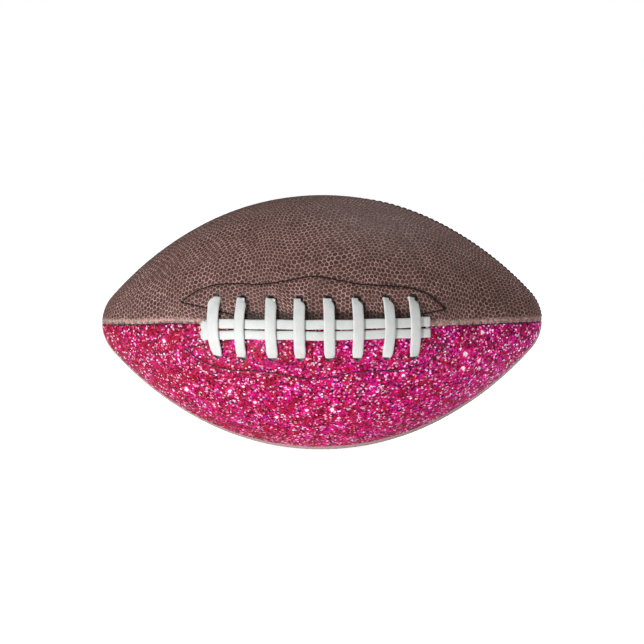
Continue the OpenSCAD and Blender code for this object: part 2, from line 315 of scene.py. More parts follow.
# ---------------------------------------------------------------------- pebbled panels
def pebble_field(half_u, half_w, lean, rng):
    """Flat field of six-sided pebbles with jittered centres, bent into slow curves: points, triangles,
    the height of each point from 0 in a valley to 1 on a top, and a random tone for each pebble."""
    reach = int(1.2 * math.hypot(half_u, half_w) / PEBBLE) + 3
    span = np.arange(-reach, reach + 1)
    i, j = np.meshgrid(span, span, indexing="ij")
    first = np.array([math.cos(lean), math.sin(lean)])
    second = np.array([math.cos(lean + math.pi / 3), math.sin(lean + math.pi / 3)])
    site = PEBBLE * (i[..., None] * first + j[..., None] * second)
    site = site + PEBBLE * PEBBLE_JITTER * rng.uniform(-1, 1, site.shape)
    for size, length in ((2.6 * MM, 95 * MM), (1.5 * MM, 52 * MM), (0.8 * MM, 27 * MM)):
        phase = rng.uniform(0, 2 * math.pi, 4)
        k = 2 * math.pi / length
        bend_u = size * np.sin(k * site[..., 1] + phase[0]) + size / 2 * np.sin(k * site[..., 0] + phase[1])
        bend_w = size * np.sin(k * site[..., 0] + phase[2]) + size / 2 * np.sin(k * site[..., 1] + phase[3])
        site = site + np.stack([bend_u, bend_w], -1)

    n = span.size
    index = np.arange(n * n).reshape(n, n)
    right, above = np.roll(site, -1, 0), np.roll(site, -1, 1)
    across = np.roll(right, -1, 1)
    up, down = (site + right + above) / 3, (right + across + above) / 3

    def at(block, di, dj):
        """Indices of a block's points, taken from the neighbour at (di, dj)."""
        return block * n * n + np.roll(index, (-di, -dj), (0, 1))

    def moved(values, di, dj):
        return np.roll(values, (-di, -dj), (0, 1))

    corner_at = [(1, 0, 0), (2, -1, 0), (1, -1, 0), (2, -1, -1), (1, 0, -1), (2, 0, -1)]
    corner = [moved(up if block == 1 else down, di, dj) for block, di, dj in corner_at]
    corner_id = [at(*k) for k in corner_at]
    middles = [(corner[5] + corner[0]) / 2, (corner[0] + corner[1]) / 2, (corner[1] + corner[2]) / 2]
    middle_at = [(3, 0, 0), (4, 0, 0), (5, 0, 0), (3, -1, 0), (4, 0, -1), (5, 1, -1)]
    middle = [moved(middles[block - 3], di, dj) for block, di, dj in middle_at]
    middle_id = [at(*k) for k in middle_at]

    inner = [site + 0.46 * (c - site) for c in corner]
    outer, rim_id = [], []
    for k in range(6):
        outer += [site + 0.78 * (middle[k] - site), site + 0.70 * (corner[k] - site)]
        rim_id += [middle_id[k], corner_id[k]]
    blocks = [site, up, down, *middles, *inner, *outer]
    heights = [1.0, 0, 0, 0, 0, 0] + [0.93] * 6 + [0.52] * 12

    inside = (np.abs(site[..., 0]) < half_u + PEBBLE)
    inside &= np.abs(site[..., 1]) < half_width(site[..., 0]) * 1.25 + 3 * PEBBLE
    inside[:2], inside[-2:], inside[:, :2], inside[:, -2:] = False, False, False, False

    def chosen(block):
        return at(block, 0, 0)[inside]

    rim = [k[inside] for k in rim_id]
    faces = []
    for k in range(6):
        a, b = chosen(6 + k), chosen(6 + (k + 1) % 6)
        low, mid, high = chosen(12 + 2 * k), chosen(13 + 2 * k), chosen(12 + (2 * k + 2) % 12)
        faces.append(np.stack([chosen(0), a, b], 1))
        faces += [np.stack(t, 1) for t in ((a, low, mid), (a, mid, high), (a, high, b))]
    for k in range(12):
        m = (k + 1) % 12
        faces.append(quads(chosen(12 + k), rim[k], rim[m], chosen(12 + m)))
    faces = np.vstack(faces)

    tone = rng.uniform(0, 1, (n, n))
    tall = rng.uniform(0.82, 1.08, (n, n))
    points = np.concatenate([b.reshape(-1, 2) for b in blocks])
    grain = np.concatenate([np.full(n * n, h) * (tall.ravel() if h else 1) for h in heights])
    tones = np.concatenate([tone.ravel() if h else np.full(n * n, 0.5) for h in heights])
    return points, faces, grain, tones


def wrap_onto_ball(flat):
    """(u, w) of points on a flat pattern that is laid over the ball without shear at the noses."""
    u = np.clip(flat[:, 0], -HALF_OUTLINE, HALF_OUTLINE)
    angle = np.zeros_like(u)
    for _ in range(12):
        _, r, lean = on_outline(u)
        pinch = 1 - np.minimum(0.5, (angle * np.sin(lean)) ** 2 / 6)
        angle = np.clip(flat[:, 1] / np.maximum(r * pinch, 1e-5), -0.95, 0.95)
        u = flat[:, 0] - 0.5 * r * np.sin(lean) * angle**2
        u = np.clip(u, -HALF_OUTLINE, HALF_OUTLINE)
    return u, angle * on_outline(u)[1]


def glints(points):
    """Brightness of the few big sparkles of the print at each point."""
    total = np.zeros(len(points))
    for x, z, size in GLINTS:
        away = np.hypot(points[:, 0] - x * MM, points[:, 2] - z * MM)
        total += np.exp(-((away / (size * MM)) ** 2))
    return total


def sewn_depth(u, on_front_seam):
    """Depth of the turned-in edge: shallow along the laced opening, full where the seam is sewn."""
    if not on_front_seam:
        return np.full(np.shape(u), TURNED_DEPTH)
    sewn = smooth(np.abs(on_outline(u)[0]), OPENING_HALF + 2 * MM, OPENING_HALF + 6 * MM)
    return PANEL_T + 0.4 * MM + (TURNED_DEPTH - PANEL_T - 0.4 * MM) * sewn


def turned_edge(full):
    """Where the turned-in edge ends, measured like the panel's half width."""
    return full - np.minimum(TURNED_WIDTH, 0.9 * full)


def cross_positions():
    """Distance along the outline of each crossing lace."""
    for k in range(CROSS_COUNT):
        yield (k - (CROSS_COUNT - 1) / 2) * CROSS_STEP


class Panel:
    """One quarter of the cover. front_side is the sign of w at the laced seam, or 0 on a back panel."""

    def __init__(self, name, middle, front_side, rng, relief=1.0):
        self.name, self.middle, self.front_side, self.relief = name, middle, front_side, relief
        self.rng = rng
        self.holes = []
        if front_side:
            for u in cross_positions():
                self.holes.append((u, front_side * (float(half_width(u)) - HOLE_OFFSET), HOLE_R))

    def turn(self, u, w):
        r = on_outline(u)[1]
        return self.middle + w / np.maximum(r, 1e-6)

    def height(self, u, w, grain):
        """Height of the leather above the ball's outline."""
        edge = half_width(u) - np.abs(w)
        fade = smooth(edge, 0, 2.2 * MM)
        wide = smooth(half_width(u), 2 * MM, 20 * MM)
        height = RELIEF * self.relief * (grain - 0.7) * (0.3 + 0.7 * fade)
        height -= SEAM_DIP * wide * np.clip(1 - edge / SEAM_SOFT, 0, 1) ** 2
        pucker = 0.5 + 0.5 * np.cos(2 * math.pi * u / SEAM_PITCH)
        height -= SEAM_PUCKER * pucker * np.exp(-((edge - 1.2 * MM) / (1.4 * MM)) ** 2)
        if self.front_side:
            x = on_outline(u)[0]
            v = half_width(u) - self.front_side * w
            line = sewing_line(-self.front_side)
            sewn = distance_to_line(x, v, line)
            inside = np.interp(x, line[1:-1, 0], line[1:-1, 1]) - v
            inside = np.where((x > line[1, 0]) & (x < line[-2, 0]), inside, -1)
            height += FACING_RISE * smooth(inside, -0.6 * MM, 2.5 * MM)
            height -= SEWN_DIP * np.exp(-((sewn / (0.75 * MM)) ** 2))
            for hole_u, hole_w, hole_r in self.holes:
                away = np.hypot(u - hole_u, w - hole_w)
                height -= HOLE_DIP * np.exp(-((np.maximum(away - hole_r, 0) / (1.5 * MM)) ** 2))
        return height

    def rim(self, u, w):
        """Distance from the edge of the bare rim beside the bottom seam: below 0 the print is missing."""
        if self.middle != FRONT_LOWER:
            return np.full(len(u), 1.0)
        return half_width(u) + w - (RIM_BASE + RIM_SHARE * on_outline(u)[1])

    def pull(self, u, w):
        """Painted shade in the gathers beside each seam. On the bare rim it reaches further in and is less
        even.
        """
        on_rim = (self.middle == FRONT_LOWER) & (w < 0)
        reach = SEAM_SHADE_REACH + np.where(on_rim, SEAM_SHADE_SHARE * on_outline(u)[1], 0)
        phase = 2 * math.pi * u / SEAM_PITCH + np.where(on_rim, 2 * np.sin(u / (6 * MM)), 0)
        edge = half_width(u) - np.abs(w)
        return (0.5 + 0.5 * np.cos(phase)) * np.exp(-((edge / reach) ** 2))

    def crest(self, u, w):
        """Dark dashes that the thread leaves beside the top seam, towards the right nose."""
        if self.middle != FRONT_UPPER:
            return np.zeros(len(u))
        x, r, _ = on_outline(u)
        away = (half_width(u) - w) / (2.2 * MM + 0.075 * r)
        dash = 0.6 + 0.4 * np.cos(2 * math.pi * u / (SEAM_PITCH * 0.8))
        return dash * smooth(x, 15 * MM, 55 * MM) * smooth(1.4 - away, 0, 0.8)

    def soil(self, u, w):
        """Painted shade in the corners above the long lace and to the right of each strap, where their
        shadow falls.
        """
        if self.middle != FRONT_UPPER:
            return np.zeros(len(u))
        v = half_width(u) + w
        beside = np.full(len(u), 1.0)
        for strap_u in cross_positions():
            away = u - strap_u - 2.6 * MM
            beside = np.where(away > 0, np.minimum(beside, away), beside)
        corner = smooth(11 * MM - v, 0, 4.5 * MM) * (0.68 + 0.32 * smooth(7 * MM - beside, 0, 5 * MM))
        behind = smooth(2.4 * MM - beside, 0, 2.2 * MM) * smooth(15.5 * MM - v, 0, 3 * MM)
        inside = smooth(OPENING_HALF - 5 * MM - np.abs(u), 0, 5 * MM) * smooth(u + 52 * MM, 0, 14 * MM)
        return np.maximum(corner, behind) * inside

    def place(self, u, w, height):
        return surface(u, self.turn(u, w), height)

    def build(self, material):
        tip = np.linspace(HALF_OUTLINE, HALF_OUTLINE - 20 * MM, 400)
        half_u = float(np.interp(EDGE_ROLL, half_width(tip), tip))
        lean = self.rng.uniform(0.1, 0.5)
        flat, faces, grain, tone = pebble_field(HALF_OUTLINE, BALL_R * QUARTER / 2, lean, self.rng)
        u, w = wrap_onto_ball(flat)
        u = np.clip(u, -half_u, half_u)
        limit = np.maximum(half_width(u) - EDGE_ROLL, 0)
        w = np.clip(w, -limit, limit)
        on_hole = np.full(len(u), -1)
        for k, (hole_u, hole_w, hole_r) in enumerate(self.holes):
            du, dw = u - hole_u, w - hole_w
            away = np.hypot(du, dw)
            near = away < hole_r + 0.3 * MM
            scale = hole_r / np.maximum(away, 1e-6)
            u = np.where(near, hole_u + du * scale, u)
            w = np.where(near, hole_w + dw * scale, w)
            on_hole[near] = k
        p, q, s = (np.stack([u[faces[:, k]], w[faces[:, k]]], 1) for k in range(3))
        area = (q[:, 0] - p[:, 0]) * (s[:, 1] - p[:, 1]) - (q[:, 1] - p[:, 1]) * (s[:, 0] - p[:, 0])
        filled = (on_hole[faces] >= 0).all(1)
        faces = faces[(np.abs(area) > 2e-10) & ~filled]
        used, faces = renumbered(faces)
        u, w, grain, tone, on_hole = u[used], w[used], grain[used], tone[used], on_hole[used]
        return self.close(u, w, grain, tone, on_hole, faces, material)

    def close(self, u, w, grain, tone, on_hole, faces, material):
        """Adds the rolled edges, the holes' walls, the turned-in edges and the inner side."""
        mesh = Build("grain", "tone", "edge", "rim", "pull", "crest", "soil", "glint")

        def lay(u, w, height, triangles, grain, tone, pit=False):
            """Adds leather to the mesh and gives the number of its first point."""
            edge = half_width(u) - np.abs(w)
            rim, pull = self.rim(u, w), self.pull(u, w)
            crest, soil = self.crest(u, w), self.soil(u, w)
            if pit:
                # painted shade: the holes' walls and floors are darkened fully
                rim, pull, crest = np.full(len(u), -1.0), np.ones(len(u)), np.zeros(len(u))
            points = self.place(u, w, height)
            start = mesh.count
            glint = glints(points) if self.middle == FRONT_LOWER else 0.0
            mesh.add(points, triangles, grain=grain, tone=tone, edge=edge, rim=rim, pull=pull, crest=crest,
                     soil=soil, glint=glint)
            return start

        lay(u, w, self.height(u, w, grain), faces, grain, tone)
        pairs = np.concatenate([faces[:, [0, 1]], faces[:, [1, 2]], faces[:, [2, 0]]])
        _, first, counts = np.unique(np.sort(pairs, 1), axis=0, return_index=True, return_counts=True)
        border = pairs[first[counts == 1]]
        hole_edge = (on_hole[border] >= 0).all(1)
        self.close_holes(lay, u, w, grain, on_hole, border[hole_edge])
        self.close_sides(lay, mesh, u, w, grain, border[~hole_edge])
        return mesh.finish(self.name, material)

    def close_holes(self, lay, u, w, grain, on_hole, border):
        """Punched holes with a rounded rim and a floor."""
        rows = [(0.0, 0.0), (0.10, 0.30), (0.22, 0.8), (0.25, 1.6)]
        for k, (hole_u, hole_w, hole_r) in enumerate(self.holes):
            ids, edges = renumbered(border[on_hole[border[:, 0]] == k])
            n = len(ids)
            top = self.height(u[ids], w[ids], grain[ids])
            uu, ww, hh = [], [], []
            for inset, drop in rows:
                scale = 1 - inset * MM / hole_r
                uu.append(hole_u + (u[ids] - hole_u) * scale)
                ww.append(hole_w + (w[ids] - hole_w) * scale)
                hh.append(np.where(drop == 0, top, top * 0.5 - drop * MM))
            uu.append([hole_u])
            ww.append([hole_w])
            hh.append([hh[-1].mean()])
            last = (len(rows) - 1) * n
            floor = np.full(len(edges), len(rows) * n)
            floor = np.stack([edges[:, 1] + last, edges[:, 0] + last, floor], 1)
            flat = (np.concatenate(k) for k in (uu, ww, hh))
            lay(*flat, np.vstack([wall(edges, n, len(rows)), floor]), 0.7, 0.5, pit=True)

    def close_sides(self, lay, mesh, u, w, grain, border):
        """Rolls each long edge into its seam, turns it in, and closes the panel with an inner side."""
        loops = {}
        for side in (-1, 1):
            ids, edges = renumbered(border[np.sign(w[border].mean(1)) == side])
            n = len(ids)
            uu, g = u[ids], grain[ids]
            depth = sewn_depth(uu, side == self.front_side)
            rows_w, rows_h, rows_g = [np.abs(w[ids])], [self.height(uu, w[ids], g)], [g]
            full = half_width(uu)
            drop = EDGE_DROP * (0.45 + 0.55 * smooth(full, 2 * MM, 20 * MM))
            for step in range(1, EDGE_STEPS + 1):
                beta = QUARTER * step / EDGE_STEPS
                gone = EDGE_ROLL * (1 - math.sin(beta))
                rows_w.append(full - np.maximum(gone, SEAM_GAP))
                base = self.height(uu, side * rows_w[-1], g)
                rows_h.append(base - drop * (1 - math.cos(beta)))
                rows_g.append(g * (1 - 0.5 * step / EDGE_STEPS))
            outer, inner = full - SEAM_GAP, turned_edge(full)
            for ww, hh in ((outer, -PANEL_T), (outer, -depth), (inner, -depth), (inner, INNER_LEVEL)):
                rows_w.append(ww)
                rows_h.append(np.broadcast_to(hh, n))
                rows_g.append(g * 0)
            count = len(rows_w)
            start = lay(np.tile(uu, count), side * np.concatenate(rows_w), np.concatenate(rows_h),
                        wall(edges, n, count), np.concatenate(rows_g), 0.5)
            order = np.argsort(uu, kind="stable")
            loops[side] = (uu[order], start + (count - 1) * n + order, start + order, n, count)
        self.close_tips(mesh, loops)
        self.close_inside(lay, mesh, loops)

    def close_tips(self, mesh, loops):
        """Small faces at each nose, where the two long edges meet."""
        for end in (0, -1):
            left = loops[-1][2][end] + loops[-1][3] * np.arange(loops[-1][4])
            right = loops[1][2][end] + loops[1][3] * np.arange(loops[1][4])
            a, b, c, d = left[:-1], left[1:], right[1:], right[:-1]
            faces = quads(a, b, c, d) if end == 0 else quads(d, c, b, a)
            mesh.triangles.append(faces)

    def close_inside(self, lay, mesh, loops):
        """Inner side of the cover, joined to the ends of both turned edges."""
        columns = 9
        stations = np.linspace(loops[1][0][0], loops[1][0][-1], 64)
        spread = np.linspace(-1, 1, columns)
        uu = np.repeat(stations, columns)
        ww = (turned_edge(half_width(stations))[:, None] * spread * 0.96).ravel()
        ids = np.arange(len(uu)).reshape(-1, columns)
        faces = quads(ids[:-1, :-1], ids[:-1, 1:], ids[1:, 1:], ids[1:, :-1])
        start = lay(uu, ww, np.full(len(uu), INNER_LEVEL), faces, 0.0, 0.5)
        for side, column in ((-1, 0), (1, columns - 1)):
            loop_u, loop_ids = loops[side][0], loops[side][1]
            joined = zip_lines(loop_u, loop_ids, stations, start + ids[:, column])
            mesh.triangles.append(joined if side == -1 else joined[:, ::-1])
        for end, flip in ((0, 1), (-1, -1)):
            row = start + ids[end]
            tips = [loops[-1][1][end], loops[1][1][end]]
            fan = [(tips[0], row[k + 1], row[k]) for k in range(columns - 1)] + [(tips[0], tips[1], row[-1])]
            mesh.triangles.append(np.array(fan)[:, ::flip])


def zip_lines(at_a, ids_a, at_b, ids_b):
    """Triangles between two rows of points that are sorted by their position along the same direction."""
    faces, i, j = [], 0, 0
    while i < len(ids_a) - 1 or j < len(ids_b) - 1:
        step_a = j == len(ids_b) - 1 or (i < len(ids_a) - 1 and at_a[i + 1] <= at_b[j + 1])
        if step_a:
            faces.append((ids_a[i], ids_b[j], ids_a[i + 1]))
            i += 1
        else:
            faces.append((ids_a[i], ids_b[j], ids_b[j + 1]))
            j += 1
    return np.array(faces)


# ---------------------------------------------------------------------- laces and threads
def rounded_section(points, flatness):
    """Cross-section of a soft strip, from -1 to 1 both ways."""
    angle = 2 * math.pi * np.arange(points) / points
    c, s = np.cos(angle), np.sin(angle)
    return np.sign(c) * np.abs(c) ** (2 / flatness), np.sign(s) * np.abs(s) ** (2 / 2.4)


def sweep(mesh, path, side, half_w, half_t, section, shear, **values):
    """Sweeps a section along a path. side is the direction of the section's width at each point, and shear
    slants the section along the path. The section is one outline, or one outline for each point."""
    path, side = np.asarray(path, float), np.asarray(side, float)
    along = np.gradient(path, axis=0)
    along /= np.linalg.norm(along, axis=1, keepdims=True)
    side = side - (side * along).sum(1, keepdims=True) * along
    side /= np.linalg.norm(side, axis=1, keepdims=True)
    up = np.cross(side, along)
    n, m = len(path), section[0].shape[-1]
    across, height = (np.broadcast_to(k, (n, m))[..., None] for k in section)
    half_w, half_t, shear = (np.broadcast_to(k, n)[:, None, None] for k in (half_w, half_t, shear))
    points = path[:, None] + half_w * across * side[:, None]
    points = points + half_t * height * up[:, None]
    points = points + shear * half_w * across * along[:, None]
    ids = np.arange(n * m).reshape(n, m)
    nxt = np.roll(ids, -1, 1)
    faces = [quads(ids[:-1], ids[1:], nxt[1:], nxt[:-1])]
    points = np.concatenate([points.reshape(-1, 3), path[:1], path[-1:]])
    faces.append(np.stack([nxt[0], np.full(m, n * m), ids[0]], 1))
    faces.append(np.stack([ids[-1], np.full(m, n * m + 1), nxt[-1]], 1))
    full = {k: np.broadcast_to(v, n) for k, v in values.items()}
    full = {k: np.concatenate([np.repeat(v, m), v[:1], v[-1:]]) for k, v in full.items()}
    mesh.add(points, np.vstack(faces), **full)


def lace_height(v):
    """Height of a crossing lace's middle above the ball, at distance v from the seam: over the long lace,
    down to the leather, and round into the hole."""
    over = LONG_LIFT + LACE_T * 1.5 + 0.05 * MM
    knots = np.array([0, 3.6, 5.8, 8.5, 11.5, 13.8, 15.0]) * MM
    levels = np.array([over, over, over - 0.1 * MM, 1.8 * MM, 1.3 * MM, 0.85 * MM, 0.45 * MM])
    return np.interp(np.abs(v), knots, levels)


def crossing_laces(material):
    """The lace wound across the opening, one bowed strap at each pair of holes."""
    # each strap's width, how far it leans to the right at its upper end, middle and lower end, the twist
    # of its upper and lower end, and the share that folds under at its upper right corner (left if below 0)
    straps = [(6.5, -0.8, -1.3, 0.4, 0.5, -0.2, -0.38), (5.4, -0.5, -1.7, -1.1, 0.3, 0.1, 0.22),
              (5.9, 0.1, -0.1, 0.5, 0.25, 0.2, 0.12), (5.9, -0.2, -0.45, -0.2, 0.2, 0.2, 0.42),
              (5.7, -0.4, -0.2, -0.1, 0.2, 0.15, 0.26), (5.6, -1.0, -0.4, -1.1, 0.3, -0.2, 0.42),
              (5.5, 0.0, 0.85, -0.8, 0.4, -0.3, 0.42), (5.5, -1.7, -0.7, -1.1, 0.45, 0.2, 0.36)]
    mesh = Build("tuck")
    section = rounded_section(24, 4.5)
    for u0, strap in zip(cross_positions(), straps):
        width, top, mid, low = (MM * x for x in strap[:4])
        flat = np.linspace(-1, 1, 57)
        v = flat * (STRAP_END - 0.7 * MM)
        # each end bends round the rim of its hole and goes down through it
        bend = np.linspace(0, 1, 11)[1:]
        down_v = STRAP_END - 0.7 * MM * (1 - np.sin(bend * QUARTER))
        down_h = lace_height(v[-1]) - 0.7 * MM * (1 - np.cos(bend * QUARTER))
        down_h = down_h - np.clip(bend - 0.6, 0, 1) * 4.5 * MM
        height = np.concatenate([down_h[::-1], lace_height(v), down_h])
        v = np.concatenate([-down_v[::-1], v, down_v])
        share = v / STRAP_END
        bow = mid + (top - mid) * np.clip(share, 0, 1) ** 1.6 + (low - mid) * np.clip(-share, 0, 1) ** 1.6
        roll = np.interp(share, [-1, -0.6, 0.6, 1], [strap[5], 0, 0, strap[4]])
        slant = -0.45 if strap[6] > 0 else 0.3
        shear = np.interp(share, [-1, -0.7, 0.55, 1], [-0.12, 0, 0, slant])
        corner = np.abs(strap[6]) * smooth(share, 0.74, 0.99)
        narrow = 1 - 0.16 * smooth(-share, 0.84, 1) - 0.14 * smooth(-height, 0, 1.5 * MM) - corner
        u = u0 + 0.6 * MM + bow - np.sign(strap[6]) * corner * width / 2
        turn = v / on_outline(u)[1]
        path = surface(u, turn, height)
        step = surface(u + 0.1 * MM, turn, height) - path
        lift = surface(u, turn, height + 0.1 * MM) - path
        side = step * np.cos(roll)[:, None] - lift * np.sin(roll)[:, None]
        # how far the lace has gone down into its hole; the lace's material paints shade there
        tuck = smooth(-height, -0.5 * MM, 1.2 * MM)
        thick = LACE_T / 2 * (1 - 0.12 * np.exp(-((np.abs(v) - 5.5 * MM) / (2 * MM)) ** 2))
        sweep(mesh, path, side, width / 2 * narrow, thick, section, shear, tuck=tuck)
    return mesh.finish("crossing_laces", material)


def lace_line(u):
    """Distance of the gap between the two runs of the long lace below the seam."""
    sag = 0.45 * np.exp(-(((u - 12 * MM) / (16 * MM)) ** 2)) - 0.2 * smooth(u, 30 * MM, 58 * MM)
    return -(0.6 + sag) * MM - wander(u, 0) * on_outline(u)[1]


def long_lace(material):
    """One strip under the crossing laces: two runs side by side, folded over at the left end."""
    mesh = Build("tuck")
    section = rounded_section(20, 5)
    left = u_at_x(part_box("long_lace")[0].x + 3.9 * MM)
    right = u_at_x(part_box("long_lace")[1].x - 1.1 * MM)
    for k, row in enumerate((1, -1)):
        u = np.linspace(left, right - (0.1 if row > 0 else 0) * MM, 180)
        gap = 0.30 * MM + 0.12 * MM * np.sin(u / (9 * MM) + 2 * k) + 0.13 * MM * np.sin(u / (4 * MM) + k)
        pressed = sum(np.exp(-((u - c) / (3.2 * MM)) ** 2) for c in cross_positions())
        height = LONG_LIFT + LACE_T / 2 + 0.16 * MM * (1 - pressed)
        width = LONG_W * (1.04 if row > 0 else 0.98)
        if row > 0:
            width = width * (1 - 0.3 * smooth(left + 4.5 * MM - u, 0, 4 * MM))
        middle = lace_line(u) + row * (gap + width / 2)
        turn = middle / on_outline(u)[1]
        path = surface(u, turn, height)
        side = surface(u, turn + 0.001, height) - path
        sweep(mesh, path, -side, width / 2, LACE_T / 2, section, 0.0, tuck=0.0)
    # the fold: the strip turns over on itself, so the end stands a little higher
    t = np.linspace(-1, 1, 25)
    u = left + 2.9 * MM + 0.25 * MM * np.cos(3 * t) + 0.5 * MM * np.abs(t) ** 4
    turn = (t * LONG_W * 0.95 - 0.5 * MM + lace_line(left)) / on_outline(u)[1]
    path = surface(u, turn, LONG_LIFT + LACE_T * 0.62 + 0.25 * MM * np.cos(t * QUARTER))
    level = LONG_LIFT + LACE_T * 0.62
    side = surface(u + 0.1 * MM, turn, level) - surface(u, turn, level)
    sweep(mesh, path, side, 2.7 * MM * (1 - 0.2 * np.abs(t) ** 4), LACE_T * 0.6, section, 0.0, tuck=0.0)
    return mesh.finish("long_lace_folded", material)


def stitch_chain(mesh, u, turn, base, lift, sink, radius, pitch, gap=0.12):
    """Row of twisted-thread stitches along a line on the ball. Each rises to lift and dives to sink, both
    measured from base, which may change along the line."""
    base = np.broadcast_to(base, len(u))
    line = np.stack([u, turn * on_outline(u)[1]], 1)
    along = np.concatenate([[0], np.cumsum(np.linalg.norm(np.diff(line, axis=0), axis=1))])
    count = max(1, round(along[-1] / pitch))
    ends = np.linspace(0, along[-1], count + 1)
    ring = 2 * math.pi * np.arange(8) / 8
    t = np.linspace(0, 1, 9)
    for k in range(count):
        at = ends[k] + (ends[k + 1] - ends[k]) * (gap / 2 + (1 - gap) * t)
        uu, tt = np.interp(at, along, u), np.interp(at, along, turn)
        height = np.interp(at, along, base) + sink + (lift - sink) * np.sin(np.pi * t) ** 0.55
        path = surface(uu, tt, height)
        side = np.cross(np.gradient(path, axis=0), surface(uu, tt, height + 0.1 * MM) - path)
        wave = 1 + 0.14 * np.cos(2 * (ring + 2.4 * math.pi * t[:, None] + k))
        twisted = wave * np.cos(ring), wave * np.sin(ring)
        sweep(mesh, path, side, radius, radius, twisted, 0.0, tuck=1 - np.sin(math.pi * t))


def facing_stitches(name, row, material):
    """Black stitches round the facing on one side of the lacing."""
    line = evenly(sewing_line(row), 0.75 * MM)
    u = u_at_x(line[:, 0])
    turn = row * line[:, 1] / on_outline(u)[1]
    mesh = Build("tuck")
    stitch_chain(mesh, u, turn, 0.0, 0.2 * MM, -0.4 * MM, THREAD_R, STITCH, 0.02)
    return mesh.finish(name, material)


def seam_stitches(name, turn, start, end, rise, material):
    """Thread at the bottom of a seam's groove between two places along the ball. Towards the right nose it
    comes up by rise."""
    u = np.linspace(start, end, 400)
    base = rise * smooth(u, 5 * MM, 40 * MM)
    mesh = Build("tuck")
    stitch_chain(mesh, u, np.full(400, turn), base, -0.8 * MM, -1.3 * MM, 0.34 * MM, SEAM_PITCH * 0.8)
    return mesh.finish(name, material)


# ---------------------------------------------------------------------- materials
def add(tree, kind, inputs=None, **settings):
    """New shader node with its settings made and its inputs set or linked."""
    node = tree.nodes.new("ShaderNode" + kind)
    for key, value in settings.items():
        setattr(node, key, value)
    for key, value in (inputs or {}).items():
        if isinstance(value, bpy.types.NodeSocket):
            tree.links.new(value, node.inputs[key])
        else:
            node.inputs[key].default_value = value
    return node


def new_material(name, **constants):
    """Material, its nodes, its Principled shader with constant values, and the place on the object."""
    material = bpy.data.materials.new(name)
    material.use_nodes = True
    tree = material.node_tree
    tree.nodes.clear()
    shader = add(tree, "BsdfPrincipled", constants)
    output = add(tree, "OutputMaterial")
    tree.links.new(shader.outputs["BSDF"], output.inputs["Surface"])
    return material, tree, shader, add(tree, "TexCoord").outputs["Object"]


def dress(tree, shader, colour, rough, height, distance, strength=1.0):
    """Links a colour and a roughness to a shader, and a height as its bump."""
    tree.links.new(colour, shader.inputs["Base Color"])
    tree.links.new(rough, shader.inputs["Roughness"])
    node = add(tree, "Bump", {"Height": height, "Distance": distance, "Strength": strength})
    tree.links.new(node.outputs["Normal"], shader.inputs["Normal"])


def value_of(tree, name):
    return add(tree, "Attribute", attribute_name=name).outputs["Fac"]


def math_node(tree, operation, a, b=0.0, clamp=False):
    return add(tree, "Math", {0: a, 1: b}, operation=operation, use_clamp=clamp).outputs[0]


def ramp(tree, value, low, high, to_low=0.0, to_high=1.0):
    """Smooth step of a value between two limits."""
    node = add(tree, "MapRange", {"Value": value, "From Min": low, "From Max": high, "To Min": to_low,
                                  "To Max": to_high}, interpolation_type="SMOOTHSTEP")
    return node.outputs["Result"]


def mix(tree, factor, a, b, blend="MIX"):
    node = add(tree, "Mix", data_type="RGBA", blend_type=blend)
    for key, value in ((0, factor), (6, a), (7, b)):
        if isinstance(value, bpy.types.NodeSocket):
            tree.links.new(value, node.inputs[key])
        else:
            node.inputs[key].default_value = value
    return node.outputs[2]


def noise(tree, place, scale, detail=3.0, roughness=0.55):
    return add(tree, "TexNoise", {"Vector": place, "Scale": scale, "Detail": detail,
                                  "Roughness": roughness}).outputs["Fac"]


def brown_leather():
    """Dark pebbles in a network of lighter, pinkish valleys."""
    material, tree, shader, place = new_material("brown_pebbled_leather", **{"Specular IOR Level": 0.22})
    grain, tone, edge = value_of(tree, "grain"), value_of(tree, "tone"), value_of(tree, "edge")
    patch, fine = noise(tree, place, 130.0, 2.0), noise(tree, place, 900.0, 4.0)
    pebble = mix(tree, tone, (0.062, 0.032, 0.027, 1), (0.135, 0.073, 0.061, 1))
    pebble = mix(tree, ramp(tree, fine, 0.35, 0.7, 0.0, 0.5), pebble, (0.075, 0.045, 0.039, 1))
    valley = mix(tree, ramp(tree, patch, 0.3, 0.7), (0.42, 0.225, 0.20, 1), (0.66, 0.375, 0.34, 1))
    colour = mix(tree, ramp(tree, grain, 0.02, 0.44), valley, pebble)
    worn = ramp(tree, edge, 3.9 * MM, 1.6 * MM)
    worn = math_node(tree, "MULTIPLY", worn, ramp(tree, noise(tree, place, 420.0), 0.3, 0.7, 0.35, 0.95))
    speck = ramp(tree, noise(tree, place, 900.0), 0.35, 0.65)
    bare = mix(tree, speck, (0.46, 0.24, 0.215, 1), (0.74, 0.50, 0.46, 1))
    colour = mix(tree, worn, colour, bare)
    # painted shade in the seam gathers and in the holes
    pull = ramp(tree, value_of(tree, "pull"), 0.3, 1.0, 0.0, 0.7)
    colour = mix(tree, pull, colour, (0.10, 0.092, 0.085, 1))
    crest = ramp(tree, value_of(tree, "crest"), 0.1, 0.9, 0.0, 0.85)
    colour = mix(tree, crest, colour, (0.028, 0.024, 0.022, 1))
    # painted shade from the straps and the long lace, multiplied into the colour
    soil = ramp(tree, value_of(tree, "soil"), 0.0, 0.9, 0.0, 0.95)
    colour = mix(tree, soil, colour, (0.16, 0.155, 0.14, 1), "MULTIPLY")
    rough = ramp(tree, grain, 0.1, 0.95, 0.68, 0.42)
    rough = math_node(tree, "ADD", rough, ramp(tree, fine, 0.2, 0.8, -0.06, 0.08))
    dress(tree, shader, colour, rough, fine, 0.05 * MM, 0.6)
    return material


def flakes(tree, place, scale):
    """Distance from each flake's middle, and three random values that are the same over one flake."""
    cell = add(tree, "TexVoronoi", {"Vector": place, "Scale": scale}, feature="F1")
    parts = add(tree, "SeparateColor", {0: cell.outputs["Color"]})
    return cell.outputs["Distance"], parts.outputs["Red"], parts.outputs["Green"], parts.outputs["Blue"]


